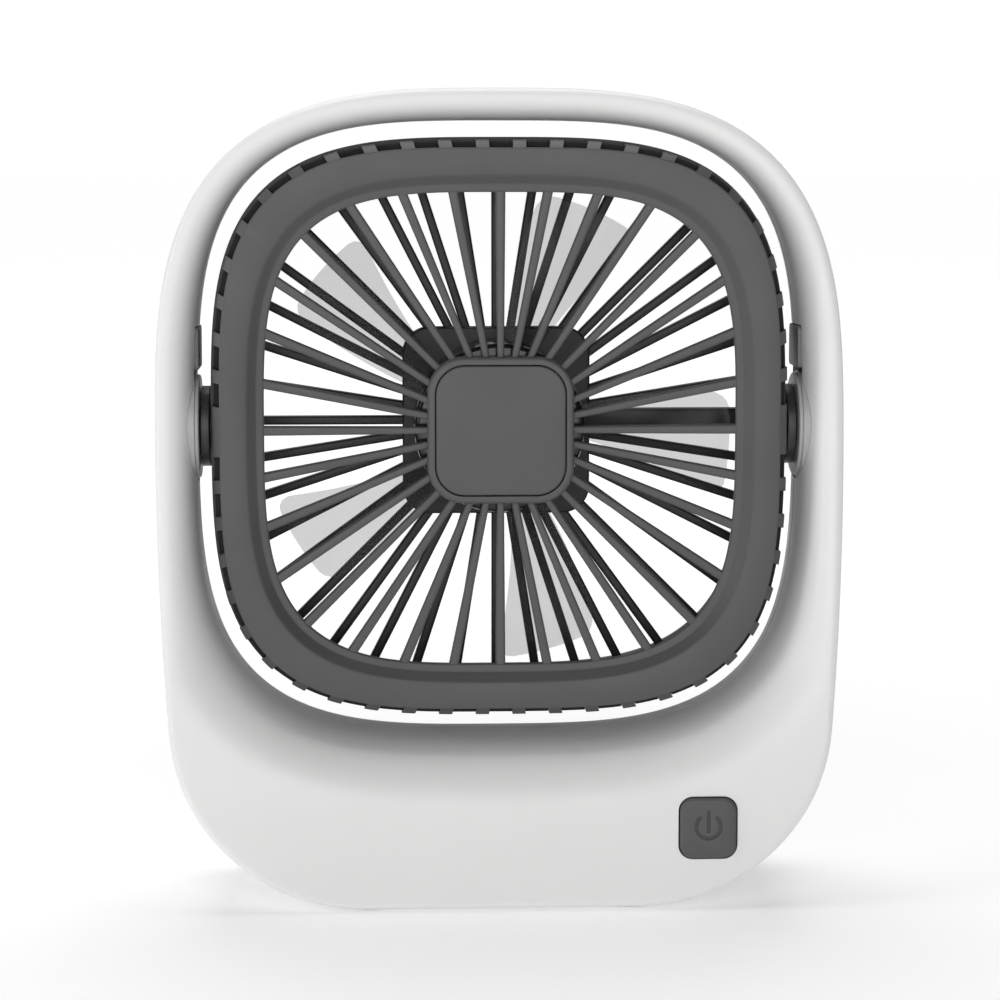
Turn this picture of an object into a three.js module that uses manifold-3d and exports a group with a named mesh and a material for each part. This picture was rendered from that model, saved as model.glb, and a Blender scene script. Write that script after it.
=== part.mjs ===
// Desktop fan: a rounded frame standing on a deeper base carries a square-round
// fan head that tilts between two side pivots. Millimetres, +Z up, the front
// faces -Y. Origin: on the floor under the middle of the feet.
import * as THREE from 'three';
import { mergeVertices } from 'three/addons/utils/BufferGeometryUtils.js';
import Module from 'manifold-3d';

const wasm = await Module();
wasm.setup();

// ---------------------------------------------------------------- dimensions
const PIVOT_Z = 98.0;            // height of the tilt axis
const OUT_C = 97.25;             // centre height of the outline and of the opening
const SEAM = 0.15;               // half the parting gap of the housing

// housing outline
const OUT_A = 70.0, OUT_B = 69.9, OUT_N = 3.1;      // upper half, a superellipse
const SIDE_TAPER = 0.00064;                         // lower sides draw in
const CORNER_R = 39.5, CORNER_X = 28.3, CORNER_Z = 40.0, BOTTOM_Z = 0.5;
// opening that the head swings in
const OPEN_A = 62.0, OPEN_B = 63.35, OPEN_N = 3.45;
const HOUSE_WALL = 2.0;
const DEPTH_BASE = 21.5, DEPTH_DROP = 13.0;         // half depth at base, loss to the top
const LAND = 2.0;                                   // half width of the flat inside the opening
const SCOOP_TOP = 4.6, SCOOP_BOTTOM = 13.0;         // how far the rounding runs out
const EDGE_R = 1.8;

// head
const HEAD_A = 59.05, HEAD_B = 59.25, HEAD_N = 3.45, HEAD_TAPER = 1.2;
const GRILLE_A = 48.05, GRILLE_B = 48.2, GRILLE_N = 3.55;
const REAR_A = 53.5, REAR_N = 3.3;                  // larger opening behind the blades
const HEAD_FRONT = -14.5, HEAD_BACK = 14.2, HEAD_SEAM = -5.95;
const FRONT_RIBS = 32, REAR_RIBS = 40;
const HUB_HALF = 14.9, HUB_CORNER = 7.5, CAP_HALF = 13.2, CAP_CORNER = 5.9;
const PLATE_HALF = 19.7, PLATE_CORNER = 5.7;

// impeller
const BLADES = 5, TIP_R = 48.5;

// pivots
const DISC_R = 11.2, BOSS_R = 8.3, DISC_FACE = 61.4;

// button
const BTN_X = 42.0, BTN_Z = 17.1, BTN_W = 11.6, BTN_H = 12.5, BTN_R = 2.7;

// ---------------------------------------------------------------- helpers
const solid = (geometry) => {
  let g = geometry.clone();
  for (const n of Object.keys(g.attributes)) if (n !== 'position') g.deleteAttribute(n);
  g.morphAttributes = {};
  g = mergeVertices(g, 1e-4);
  return new wasm.Manifold(new wasm.Mesh({
    numProp: 3,
    vertProperties: new Float32Array(g.attributes.position.array),
    triVerts: new Uint32Array(g.index.array),
  }));
};
const geom = (m) => {
  const q = m.getMesh();
  const g = new THREE.BufferGeometry();
  g.setAttribute('position', new THREE.BufferAttribute(new Float32Array(q.vertProperties), 3));
  g.setIndex(new THREE.BufferAttribute(new Uint32Array(q.triVerts), 1));
  return g;
};
const join = (...list) => list.reduce((a, b) => a.add(b));

const box = (x0, x1, y0, y1, z0, z1) => {
  const g = new THREE.BoxGeometry(x1 - x0, y1 - y0, z1 - z0);
  g.translate((x0 + x1) / 2, (y0 + y1) / 2, (z0 + z1) / 2);
  return g;
};
const rodY = (r, x, z, y0, y1, seg = 16) => {
  const g = new THREE.CylinderGeometry(r, r, y1 - y0, seg);
  g.translate(x, (y0 + y1) / 2, z);
  return g;
};
const rodX = (r, x0, x1, y, z, seg = 40) => {
  const g = new THREE.CylinderGeometry(r, r, x1 - x0, seg);
  g.rotateZ(-Math.PI / 2);
  g.translate((x0 + x1) / 2, y, z);
  return g;
};
const rodZ = (r, x, y, z0, z1, seg = 24) => {
  const g = new THREE.CylinderGeometry(r, r, z1 - z0, seg);
  g.rotateX(Math.PI / 2);
  g.translate(x, y, (z0 + z1) / 2);
  return g;
};
// flat outline [x, z] carried along Y
const slab = (pts, y0, y1, holes = []) => {
  const s = new THREE.Shape(pts.map(([x, z]) => new THREE.Vector2(x, z)));
  for (const h of holes) s.holes.push(new THREE.Path(h.map(([x, z]) => new THREE.Vector2(x, z))));
  const g = new THREE.ExtrudeGeometry(s, { depth: y1 - y0, bevelEnabled: false });
  g.rotateX(Math.PI / 2);
  g.translate(0, y1, 0);
  return g;
};
const roundRect = (cx, cz, hw, hh, r, seg = 5) => {
  const out = [];
  const c = [[1, 1, 0], [-1, 1, 90], [-1, -1, 180], [1, -1, 270]];
  for (const [sx, sz, a0] of c) {
    for (let i = 0; i <= seg; i++) {
      const a = (a0 + 90 * i / seg) * Math.PI / 180;
      out.push([cx + sx * (hw - r) + r * Math.cos(a), cz + sz * (hh - r) + r * Math.sin(a)]);
    }
  }
  return out;
};
// turned about the fan axis (Y through the pivot height); profile [radius, y], closed
const turnY = (profile, seg = 32) => {
  const p = profile.map(([r, y]) => new THREE.Vector2(r, y));
  const g = new THREE.LatheGeometry(p, seg);
  g.translate(0, 0, PIVOT_Z);
  return fixed(g);
};
// turned about the tilt axis; profile [radius, x], closed
const turnX = (profile, seg = 28) => {
  const p = profile.map(([r, x]) => new THREE.Vector2(r, x));
  const g = new THREE.LatheGeometry(p, seg);
  g.rotateZ(-Math.PI / 2);
  g.translate(0, 0, PIVOT_Z);
  return fixed(g);
};
// give a closed surface outward faces
function fixed(g) {
  for (const n of Object.keys(g.attributes)) if (n !== 'position') g.deleteAttribute(n);
  g = mergeVertices(g, 1e-4);
  const p = g.attributes.position, ix = g.index.array;
  const keep = [];
  let vol = 0;
  const a = new THREE.Vector3(), b = new THREE.Vector3(), c = new THREE.Vector3();
  for (let i = 0; i < ix.length; i += 3) {
    if (ix[i] === ix[i + 1] || ix[i + 1] === ix[i + 2] || ix[i] === ix[i + 2]) continue;
    keep.push(ix[i], ix[i + 1], ix[i + 2]);
    a.fromBufferAttribute(p, ix[i]); b.fromBufferAttribute(p, ix[i + 1]); c.fromBufferAttribute(p, ix[i + 2]);
    vol += a.dot(b.cross(c));
  }
  if (vol < 0) for (let i = 0; i < keep.length; i += 3) [keep[i + 1], keep[i + 2]] = [keep[i + 2], keep[i + 1]];
  g.setIndex(keep);
  return g;
}
// closed section swept round a centre at height cz; section(phi) gives [radius, y] points
const ring = (count, section, cz = PIVOT_Z) => {
  const pos = [], idx = [];
  let k = 0;
  for (let i = 0; i < count; i++) {
    const phi = i * 2 * Math.PI / count;
    const pts = section(phi);
    k = pts.length;
    for (const [r, y] of pts) pos.push(r * Math.sin(phi), y, cz + r * Math.cos(phi));
  }
  for (let i = 0; i < count; i++) {
    const n = (i + 1) % count;
    for (let j = 0; j < k; j++) {
      const m = (j + 1) % k;
      idx.push(i * k + j, n * k + j, n * k + m, i * k + j, n * k + m, i * k + m);
    }
  }
  const g = new THREE.BufferGeometry();
  g.setAttribute('position', new THREE.Float32BufferAttribute(pos, 3));
  g.setIndex(idx);
  return fixed(g);
};
// section moved inward by t, ends kept on their own plane
const inset = (pts, t, picks) => picks.map((k) => {
  const a = pts[Math.max(k - 1, 0)], b = pts[Math.min(k + 1, pts.length - 1)];
  let dx = b[0] - a[0], dy = b[1] - a[1];
  if (k === 0) { dx = pts[1][0] - pts[0][0]; dy = pts[1][1] - pts[0][1]; }
  if (k === pts.length - 1) { dx = pts[k][0] - pts[k - 1][0]; dy = pts[k][1] - pts[k - 1][1]; }
  const l = Math.hypot(dx, dy);
  return [pts[k][0] - t * dy / l, pts[k][1] + t * dx / l];
});

// ---------------------------------------------------------------- outlines
const superR = (phi, a, b, n) =>
  1 / Math.pow(Math.pow(Math.abs(Math.sin(phi)) / a, n) + Math.pow(Math.abs(Math.cos(phi)) / b, n), 1 / n);
const halfWidth = (z) => {
  const zt = CORNER_Z - 3.0;
  if (z >= zt) return OUT_A - SIDE_TAPER * (OUT_C - z) ** 2;
  return CORNER_X + Math.sqrt(Math.max(CORNER_R ** 2 - (CORNER_Z - z) ** 2, 0));
};
const outlineR = (phi) => {
  if (Math.cos(phi) >= 0) return superR(phi, OUT_A, OUT_B, OUT_N);
  let lo = 40, hi = 140;
  for (let i = 0; i < 40; i++) {
    const r = (lo + hi) / 2, z = OUT_C + r * Math.cos(phi);
    if (z >= BOTTOM_Z && Math.abs(r * Math.sin(phi)) <= halfWidth(z)) lo = r; else hi = r;
  }
  return lo;
};
const openR = (phi) => superR(phi, OPEN_A, OPEN_B, OPEN_N);
const headR = (phi) => superR(phi, HEAD_A, HEAD_B, HEAD_N);
const grilleR = (phi) => superR(phi, GRILLE_A, GRILLE_B, GRILLE_N);
const rearR = (phi) => superR(phi, REAR_A, REAR_A, REAR_N);
const halfDepth = (z) => DEPTH_BASE - DEPTH_DROP * Math.pow(Math.max(z - 20, 0) / 146.5, 1.15);

// ---------------------------------------------------------------- housing shells
const housingSection = (phi, side) => {
  const r0 = openR(phi), w = outlineR(phi) - r0;
  const t = Math.min((1 - Math.cos(phi)) / 1.75, 1);
  const c = Math.min(SCOOP_TOP + (SCOOP_BOTTOM - SCOOP_TOP) * t * (2 - t), w - EDGE_R - 0.3);
  const D = (s) => halfDepth(OUT_C + (r0 + s) * Math.cos(phi));
  const p = [[0, SEAM], [0, LAND]];
  for (const q of [0.06, 0.22, 0.52, 1]) {
    const s = q * c;
    p.push([s, LAND + (D(s) - LAND) * Math.sqrt(1 - (1 - q) ** 2)]);
  }
  const s1 = w - EDGE_R;
  p.push([s1, D(s1)]);
  p.push([w - 0.29 * EDGE_R, D(w) - 0.29 * EDGE_R]);
  p.push([w, D(w) - EDGE_R], [w, SEAM]);
  // [s, depth] to [s, -depth] turns the section; walk it so that inset() goes inward
  const f = p.map(([s, y]) => [s, -y]);
  const inner = inset(f, HOUSE_WALL, [0, 1, 3, 5, 6, 7, 9]);
  const all = [...f, ...inner.reverse()];
  return all.map(([s, y]) => [r0 + s, side * -y]);
};
const COUNT = 56;
let frontShell = solid(ring(COUNT, (phi) => housingSection(phi, -1), OUT_C));
let rearShell = solid(ring(COUNT, (phi) => housingSection(phi, 1), OUT_C));

const pivotHole = (side) => solid(side > 0 ? rodX(DISC_R + 0.3, 57, 65.5, 0, PIVOT_Z, 28) : rodX(DISC_R + 0.3, -65.5, -57, 0, PIVOT_Z, 28));
const coverSlot = (side) => solid(side > 0 ? box(57, 65.2, -6.5, 6.5, PIVOT_Z + 6, PIVOT_Z + 20.9) : box(-65.2, -57, -6.5, 6.5, PIVOT_Z + 6, PIVOT_Z + 20.9));
for (const side of [1, -1]) {
  frontShell = frontShell.subtract(pivotHole(side)).subtract(coverSlot(side));
  rearShell = rearShell.subtract(pivotHole(side)).subtract(coverSlot(side));
}
const SCREW = [[54, 28], [-54, 28]];
for (const [x, z] of SCREW) {
  frontShell = frontShell.add(solid(rodY(3.0, x, z, -19.5, -0.4, 12)));
  frontShell = frontShell.subtract(solid(rodY(1.2, x, z, -12, 0, 12)));
  rearShell = rearShell.add(solid(rodY(4.2, x, z, 0.4, 19.5, 12)));
  rearShell = rearShell.subtract(solid(rodY(3.0, x, z, 4.2, 24, 12)));
  rearShell = rearShell.subtract(solid(rodY(1.6, x, z, 0, 6, 12)));
}
frontShell = frontShell.subtract(solid(slab(roundRect(BTN_X, BTN_Z, BTN_W / 2 + 0.3, BTN_H / 2 + 0.3, BTN_R + 0.3), -26, -17)));
// charging socket mouth in the back of the base
rearShell = rearShell.subtract(solid(slab(roundRect(40, 13.1, 4.9, 2.0, 1.9), 17, 26)));
// shallow seats for the feet
const FEET = [['foot_front_left', -26.9, -14.5], ['foot_front_right', 26.9, -14.5], ['foot_rear_left', -26.9, 14.5], ['foot_rear_right', 26.9, 14.5]];
for (const [, x, y] of FEET) {
  const cut = solid(rodZ(3.9, x, y, -1, 1.5, 12));
  if (y < 0) frontShell = frontShell.subtract(cut); else rearShell = rearShell.subtract(cut);
}

// ---------------------------------------------------------------- head shells
const headFrontSection = (phi) => {
  const r0 = grilleR(phi), w = headR(phi) - 0.5 - r0, y = HEAD_FRONT, e = HEAD_SEAM - 0.15;
  const pts = [[2.4, e], [0.5, y + 4.6], [0, y + 3.6], [0, y + 2.5], [1.6, y + 2.2], [3.7, y + 0.5],
    [5.0, y], [w - 2.3, y], [w - 0.7, y + 0.6], [w, y + 2.2], [w, e],
    [w - 1.2, e], [w - 1.2, y + 2.6], [w - 2.5, y + 1.6], [4.9, y + 1.7], [1.7, y + 3.9], [3.6, e]];
  return pts.map(([s, v]) => [r0 + s, v]);
};
const headRearSection = (phi) => {
  const r0 = rearR(phi), w = headR(phi) - r0, y = HEAD_BACK, q = HEAD_SEAM + 0.15, t = HEAD_TAPER;
  const pts = [[0, q], [0, y - 1.4], [1.0, y], [w - t - 2.4, y], [w - t - 0.8, y - 0.9], [w - t, y - 3.2], [w, -3.0], [w, q],
    [w - 2.1, q], [w - 2.1, HEAD_FRONT + 3.1], [w - 3.2, HEAD_FRONT + 3.1], [w - 3.2, q + 1.6], [w - 1.8, q + 3.0], [w - t - 1.8, y - 2.6],
    [1.9, y - 1.8], [1.2, y - 2.6], [1.2, q]];
  return pts.map(([s, v]) => [r0 + s, v]);
};
const HCOUNT = 44;
// a straight bar from the hub to the rim, at angle a clockwise from +Z, wedge wide
const bar = (a, r0, r1, w0, w1, y0, y1, cut = [0, 0]) => {
  const u = [Math.sin(a), Math.cos(a)], v = [Math.cos(a), -Math.sin(a)];
  const p = (r, w) => [u[0] * r + v[0] * w, PIVOT_Z + u[1] * r + v[1] * w];
  return slab([p(r0, w0 / 2), p(r0, -w0 / 2), p(r1, -w1 / 2), p(r1, w1 / 2)], y0, y1);
};
let headFront = solid(ring(HCOUNT, headFrontSection));
const rimReach = (a) => grilleR(a) + 0.9;
for (let i = 0; i < FRONT_RIBS; i++) {
  const a = i * 2 * Math.PI / FRONT_RIBS;
  headFront = headFront.add(solid(bar(a, 13.9, rimReach(a), 1.5, 1.95, HEAD_FRONT + 2.5, HEAD_FRONT + 4.9)));
}
const sq = (h, r, seg = 5) => roundRect(0, PIVOT_Z, h, h, r, seg);
headFront = headFront.add(solid(slab(sq(HUB_HALF, HUB_CORNER, 6), HEAD_FRONT + 1.1, HEAD_FRONT + 4.9)));
headFront = headFront.subtract(solid(slab(sq(CAP_HALF + 0.3, CAP_CORNER + 0.3, 6), HEAD_FRONT - 1, HEAD_FRONT + 3.1)));
const CORNER = [[45.0, 45.4], [-45.0, 45.4], [-45.0, -45.4], [45.0, -45.4]];
for (const [x, z] of CORNER) {
  headFront = headFront.add(solid(rodY(2.2, x, PIVOT_Z + z, HEAD_FRONT + 1.2, HEAD_SEAM - 0.2, 10)));
  headFront = headFront.subtract(solid(rodY(1.05, x, PIVOT_Z + z, HEAD_FRONT + 3.4, HEAD_SEAM + 1, 10)));
}

let headRear = solid(ring(HCOUNT, headRearSection));
headRear = headRear.subtract(solid(rodX(5.3, 55.85, 62, 0, PIVOT_Z, 24))).subtract(solid(rodX(5.3, -62, -55.85, 0, PIVOT_Z, 24)));
for (const [x, z] of CORNER) {
  headRear = headRear.subtract(solid(rodY(2.9, x, PIVOT_Z + z, HEAD_FRONT, HEAD_SEAM - 0.05, 10)));
  headRear = headRear.add(solid(rodY(2.7, x, PIVOT_Z + z, HEAD_SEAM + 0.4, HEAD_BACK - 1.0, 10)));
  headRear = headRear.subtract(solid(rodY(2.0, x, PIVOT_Z + z, 1.0, HEAD_BACK + 2, 10)));
  headRear = headRear.subtract(solid(rodY(1.2, x, PIVOT_Z + z, HEAD_SEAM - 1, 2, 10)));
}
// shallow step that the rear grille drops into, from behind
const step = (t, y0, y1) => solid(ring(HCOUNT, (phi) => [[20, y0], [20, y1], [rearR(phi) + t, y1], [rearR(phi) + t, y0]]))
  .add(solid(rodY(21, 0, PIVOT_Z, y0, y1, 24)));
headRear = headRear.subtract(step(1.25, HEAD_BACK - 1.5, HEAD_BACK + 1));

const rearRimSection = (phi) => {
  const r = rearR(phi), y = HEAD_BACK;
  return [[r - 0.9, y - 3.0], [r - 0.9, y - 0.2], [r + 1.1, y - 0.2], [r + 1.1, y - 1.4], [r - 0.3, y - 1.4], [r - 0.3, y - 3.0]];
};
let rearGrille = solid(ring(HCOUNT, rearRimSection));
for (let i = 0; i < REAR_RIBS; i++) {
  const a = i * 2 * Math.PI / REAR_RIBS, thick = i === REAR_RIBS / 4, w = thick ? 4.65 : 1.85;
  rearGrille = rearGrille.add(solid(bar(a, 17, rearR(a) - 0.65, w, w, HEAD_BACK - (thick ? 5.6 : 4.0), HEAD_BACK - 1.3)));
}
rearGrille = rearGrille.add(solid(slab(sq(PLATE_HALF, PLATE_CORNER), HEAD_BACK - 5.4, HEAD_BACK - 1.3)));
rearGrille = rearGrille.add(solid(turnY([[3.2, -3.9], [4.7, -3.9], [4.7, HEAD_BACK - 5.0], [3.2, HEAD_BACK - 5.0], [3.2, -3.9]], 20)));

// ---------------------------------------------------------------- impeller
const blade = (theta) => {
  const NR = 5, NV = 4, top = [], bot = [];
  for (let i = 0; i <= NR; i++) {
    const q = [0, 0.3, 0.6, 0.88, 0.96, 1][i], r = 16.6 + (TIP_R - 16.6) * q;
    // the chord opens towards the tip, the last stretch rounds off
    const round = q === 1 ? 0.7 : q > 0.9 ? 0.9 : 1;
    const half = (3.2 + 7.8 * q) * round;
    const pitch = (38 - 14 * q) * Math.PI / 180;
    for (let j = 0; j <= NV; j++) {
      const v = (j / NV) * 2 - 1;
      const arc = v * half, y = -v * half * Math.tan(pitch) * 0.62 + 0.9 * (1 - v * v);
      const ang = theta + arc / r + 0.13 * (q - 1);
      for (const [list, dy] of [[top, -0.6], [bot, 0.6]]) list.push([r * Math.sin(ang), y + dy, PIVOT_Z + r * Math.cos(ang)]);
    }
  }
  const pos = [...top, ...bot].flat(), idx = [], W = NV + 1, B = top.length;
  for (let i = 0; i < NR; i++) for (let j = 0; j < NV; j++) {
    const a = i * W + j, b = a + 1, c = a + W, d = c + 1;
    idx.push(a, b, d, a, d, c, B + a, B + d, B + b, B + a, B + c, B + d);
  }
  const rim = [];
  for (let j = 0; j < NV; j++) rim.push([j, j + 1]);
  for (let i = 0; i < NR; i++) rim.push([i * W + NV, (i + 1) * W + NV]);
  for (let j = NV; j > 0; j--) rim.push([NR * W + j, NR * W + j - 1]);
  for (let i = NR; i > 0; i--) rim.push([i * W, (i - 1) * W]);
  for (const [a, b] of rim) idx.push(a, B + a, B + b, a, B + b, b);
  const g = new THREE.BufferGeometry();
  g.setAttribute('position', new THREE.Float32BufferAttribute(pos, 3));
  g.setIndex(idx);
  return fixed(g);
};
let impeller = solid(turnY([[0, -7.6], [16.2, -7.6], [17.5, -6.4], [17.5, 6.6], [16.1, 6.6], [16.1, -6.1], [0, -6.1]], 28));
impeller = impeller.add(solid(turnY([[0, -7.0], [3.0, -7.0], [3.0, -5.9], [0, -5.9]], 16)));
impeller = impeller.subtract(solid(turnY([[0, -6.9], [1.3, -6.9], [1.3, -5], [0, -5]], 16)));
const BLADE_AT = 95.5;            // degrees clockwise from the top, first blade
for (let k = 0; k < BLADES; k++) impeller = impeller.add(solid(blade((BLADE_AT + 72 * k) * Math.PI / 180)));

// ---------------------------------------------------------------- small pieces
const sides = [['left', -1], ['right', 1]];
const mirror = (profile, s) => profile.map(([r, x]) => [r, s * x]);
const list = [];
const add = (name, geometry, color, roughness = 0.6, metalness = 0) => {
  const g = geometry instanceof wasm.Manifold ? geom(geometry) : geometry;
  const flat = g.index ? g.toNonIndexed() : g;
  flat.computeVertexNormals();
  const m = new THREE.Mesh(flat, new THREE.MeshStandardMaterial({ color, roughness, metalness }));
  m.name = name;
  list.push(m);
};
const WHITE = 0xe9e9e9, DARK = 0x55565a, BLACK = 0x1f1f21, PALE = 0xa9aaac;

add('housing_front_shell', frontShell, WHITE, 0.5);
add('housing_rear_shell', rearShell, WHITE, 0.5);
for (const [tag, s] of sides) {
  add(`pivot_disc_${tag}`, turnX(mirror([[4.5, DISC_FACE], [10.6, DISC_FACE], [10.6, 62.1], [DISC_R, 62.1], [DISC_R, 65.2], [4.5, 65.2], [4.5, DISC_FACE]], s)), PALE, 0.45);
  const x0 = 61.4, x1 = 63.9;
  const z0 = PIVOT_Z + DISC_R + 0.6, z1 = PIVOT_Z + 20.6;
  const lip = s > 0 ? box(65.3, 66.1, -7.6, 7.6, PIVOT_Z + 12.0, PIVOT_Z + 22.5) : box(-66.1, -65.3, -7.6, 7.6, PIVOT_Z + 12.0, PIVOT_Z + 22.5);
  const stem = s > 0 ? box(x0, 65.4, -6.2, 6.2, PIVOT_Z + 12.0, z1) : box(-65.4, -x0, -6.2, 6.2, PIVOT_Z + 12.0, z1);
  add(`slot_cover_${tag}`, solid(lip).add(solid(stem)), 0x6d6e70, 0.55);
  add(`pivot_washer_${tag}`, turnX(mirror([[4.5, 65.4], [6.4, 65.4], [6.4, 65.9], [4.5, 65.9], [4.5, 65.4]], s), 14), 0xb8bcc0, 0.3, 1);
}
for (const [name, x, y] of FEET) add(name, rodZ(3.5, x, y, 0, 1.2, 16), 0x2b2b2c, 0.9);
add('battery_cell', (() => {
  const g = new THREE.LatheGeometry([[0, 0], [8.6, 0], [9.2, 0.6], [9.2, 62.6], [8.6, 63.2], [3.2, 63.2], [3.2, 64.6], [0, 64.6]].map(([a, b]) => new THREE.Vector2(a, b)), 20);
  g.rotateZ(-Math.PI / 2); g.translate(-37.5, 0, 15.4);
  return fixed(g);
})(), 0x3a6ea5, 0.4);
add('battery_tray', join(solid(box(-39.5, 29, -11, 11, 4.7, 5.9)), solid(box(-39.5, -38.2, -11, 11, 5.5, 18)), solid(box(27.7, 29, -11, 11, 5.5, 18)),
  solid(box(-39.5, 29, -11, -9.6, 5.5, 11)), solid(box(-39.5, 29, 9.6, 11, 5.5, 11))), 0xd9d9d6, 0.6);
add('control_board', box(31.5, 48.6, -14, 17, 9.5, 11.1), 0x1f6b3c, 0.5);
add('power_switch', join(solid(box(39.0, 45.0, -15.2, -11.2, 11.15, 18.6)), solid(rodY(1.7, 42.0, 16.2, -16.2, -14.8, 16))), 0x2a2a2c, 0.5);
add('charge_socket', solid(slab(roundRect(40, 13.1, 4.5, 1.6, 1.5), 11.2, 20.6)).subtract(solid(slab(roundRect(40, 13.1, 4.15, 1.25, 1.2), 13, 22))), 0xb9bdc2, 0.3, 1);
SCREW.forEach(([x, z], k) => add(`housing_screw_${k ? 'left' : 'right'}`,
  join(solid(rodY(2.6, x, z, 6.2, 8.2, 16)), solid(rodY(0.95, x, z, -9.5, 6.5, 10))).subtract(solid(box(x - 1.7, x + 1.7, 7.4, 9, z - 0.35, z + 0.35))), 0x8d9093, 0.35, 1));
add('power_button', join(solid(slab(roundRect(BTN_X, BTN_Z, BTN_W / 2, BTN_H / 2, BTN_R), -22.2, -19.0)),
  solid(slab(roundRect(BTN_X, BTN_Z, BTN_W / 2 + 0.8, BTN_H / 2 + 0.8, BTN_R + 0.6), -19.1, -18.3)),
  solid(rodY(2.0, BTN_X, 16.2, -18.5, -16.9, 16))), 0x525356, 0.55);

add('head_front_shell', headFront, DARK, 0.5);
add('hub_cap', slab(sq(CAP_HALF, CAP_CORNER, 6), HEAD_FRONT + 1.1, HEAD_FRONT + 2.8), DARK, 0.45);
add('head_rear_shell', headRear, BLACK, 0.5);
add('rear_grille', rearGrille, BLACK, 0.5);
for (const [tag, s] of sides) {
  add(`pivot_boss_${tag}`, turnX(mirror([[0, 54.9], [7.0, 54.9], [7.0, 55.7], [5.0, 55.7], [5.0, 59.35], [BOSS_R, 59.35], [BOSS_R, 61.1], [4.2, 61.1], [4.2, 66.1], [5.8, 66.1], [5.8, 67.2], [0, 67.2]], s), 20), 0x37383a, 0.5);
}
CORNER.forEach(([x, z], k) => add(`head_screw_${k + 1}`,
  join(solid(rodY(1.7, x, PIVOT_Z + z, 2.3, 3.8, 12)), solid(rodY(0.85, x, PIVOT_Z + z, -9.5, 2.5, 8))).subtract(solid(box(x - 1.2, x + 1.2, 3.2, 5, PIVOT_Z + z - 0.25, PIVOT_Z + z + 0.25))), 0x8d9093, 0.35, 1));

// motor, fixed half
const stator = [];
for (let k = 0; k < 6; k++) {
  const a = k * Math.PI / 3, P = (r, d) => [r * Math.sin(a + d), PIVOT_Z + r * Math.cos(a + d)];
  const u = [Math.sin(a), Math.cos(a)], v = [Math.cos(a), -Math.sin(a)];
  const Q = (r, w) => [u[0] * r + v[0] * w, PIVOT_Z + u[1] * r + v[1] * w];
  stator.push(solid(slab([Q(6.2, 1.2), Q(6.2, -1.2), Q(11.2, -1.2), P(11.2, -0.40), P(12.3, -0.42), P(12.3, -0.2), P(12.3, 0), P(12.3, 0.2), P(12.3, 0.42), P(11.2, 0.40), Q(11.2, 1.2)], -2.0, 4.0)));
}
add('stator_core', join(solid(turnY([[5.0, -2.0], [7.2, -2.0], [7.2, 4.0], [5.0, 4.0], [5.0, -2.0]], 24)), ...stator), 0x9a9da1, 0.4, 1);
add('winding_front', turnY([[7.4, -4.3], [10.6, -4.3], [11.0, -3.8], [11.0, -2.3], [7.4, -2.3], [7.4, -4.3]], 20), 0xb5652b, 0.35, 0.6);
add('winding_rear', turnY([[7.4, 4.3], [11.0, 4.3], [11.0, 5.6], [10.6, 6.0], [7.4, 6.0], [7.4, 4.3]], 20), 0xb5652b, 0.35, 0.6);
add('motor_board', turnY([[5.0, 6.7], [14.2, 6.7], [14.2, 7.9], [5.0, 7.9], [5.0, 6.7]], 20), 0x1f6b3c, 0.5);
for (const [tag, y] of [['front', -3.7], ['rear', 4.8]])
  add(`bearing_${tag}`, turnY([[1.1, y], [3.0, y], [3.0, y + 2.6], [1.1, y + 2.6], [1.1, y]], 14), 0xc4a25a, 0.4, 1);
// motor, turning half
add('impeller', impeller, 0xd5d8da, 0.25);
add('rotor_can', turnY([[1.2, -5.7], [15.2, -5.7], [15.8, -5.1], [15.8, 5.6], [15.1, 5.6], [15.1, -4.9], [1.2, -4.9], [1.2, -5.7]], 24), 0xa6a9ad, 0.3, 1);
add('magnet_ring', turnY([[12.8, -3.4], [14.9, -3.4], [14.9, 5.0], [12.8, 5.0], [12.8, -3.4]], 24), 0x3a3a3d, 0.6);
add('motor_shaft', turnY([[0, -6.7], [1.0, -6.7], [1.0, 8.2], [0, 8.2]], 12), 0xc9ccd0, 0.2, 1);
add('shaft_clip', turnY([[1.15, 7.55], [2.4, 7.55], [2.4, 7.95], [1.15, 7.95], [1.15, 7.55]], 10), 0x55585c, 0.4, 1);

const fan = new THREE.Group();
for (const m of list) fan.add(m);
export default fan;
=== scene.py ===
import bpy, bmesh, math
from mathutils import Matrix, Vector


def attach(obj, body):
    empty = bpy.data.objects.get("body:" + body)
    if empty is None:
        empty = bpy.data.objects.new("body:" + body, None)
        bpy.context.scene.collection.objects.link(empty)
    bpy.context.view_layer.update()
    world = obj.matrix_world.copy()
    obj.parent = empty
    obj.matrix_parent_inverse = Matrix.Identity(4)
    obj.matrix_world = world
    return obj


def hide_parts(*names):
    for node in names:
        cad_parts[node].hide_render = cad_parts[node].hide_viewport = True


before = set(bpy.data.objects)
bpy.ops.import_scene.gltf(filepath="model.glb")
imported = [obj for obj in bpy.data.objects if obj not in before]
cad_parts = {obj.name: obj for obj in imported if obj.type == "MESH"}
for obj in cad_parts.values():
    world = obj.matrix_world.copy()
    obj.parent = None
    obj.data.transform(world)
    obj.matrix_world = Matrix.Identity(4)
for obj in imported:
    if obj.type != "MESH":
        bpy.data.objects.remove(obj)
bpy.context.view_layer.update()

MM = 0.001
scene = bpy.context.scene

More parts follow.
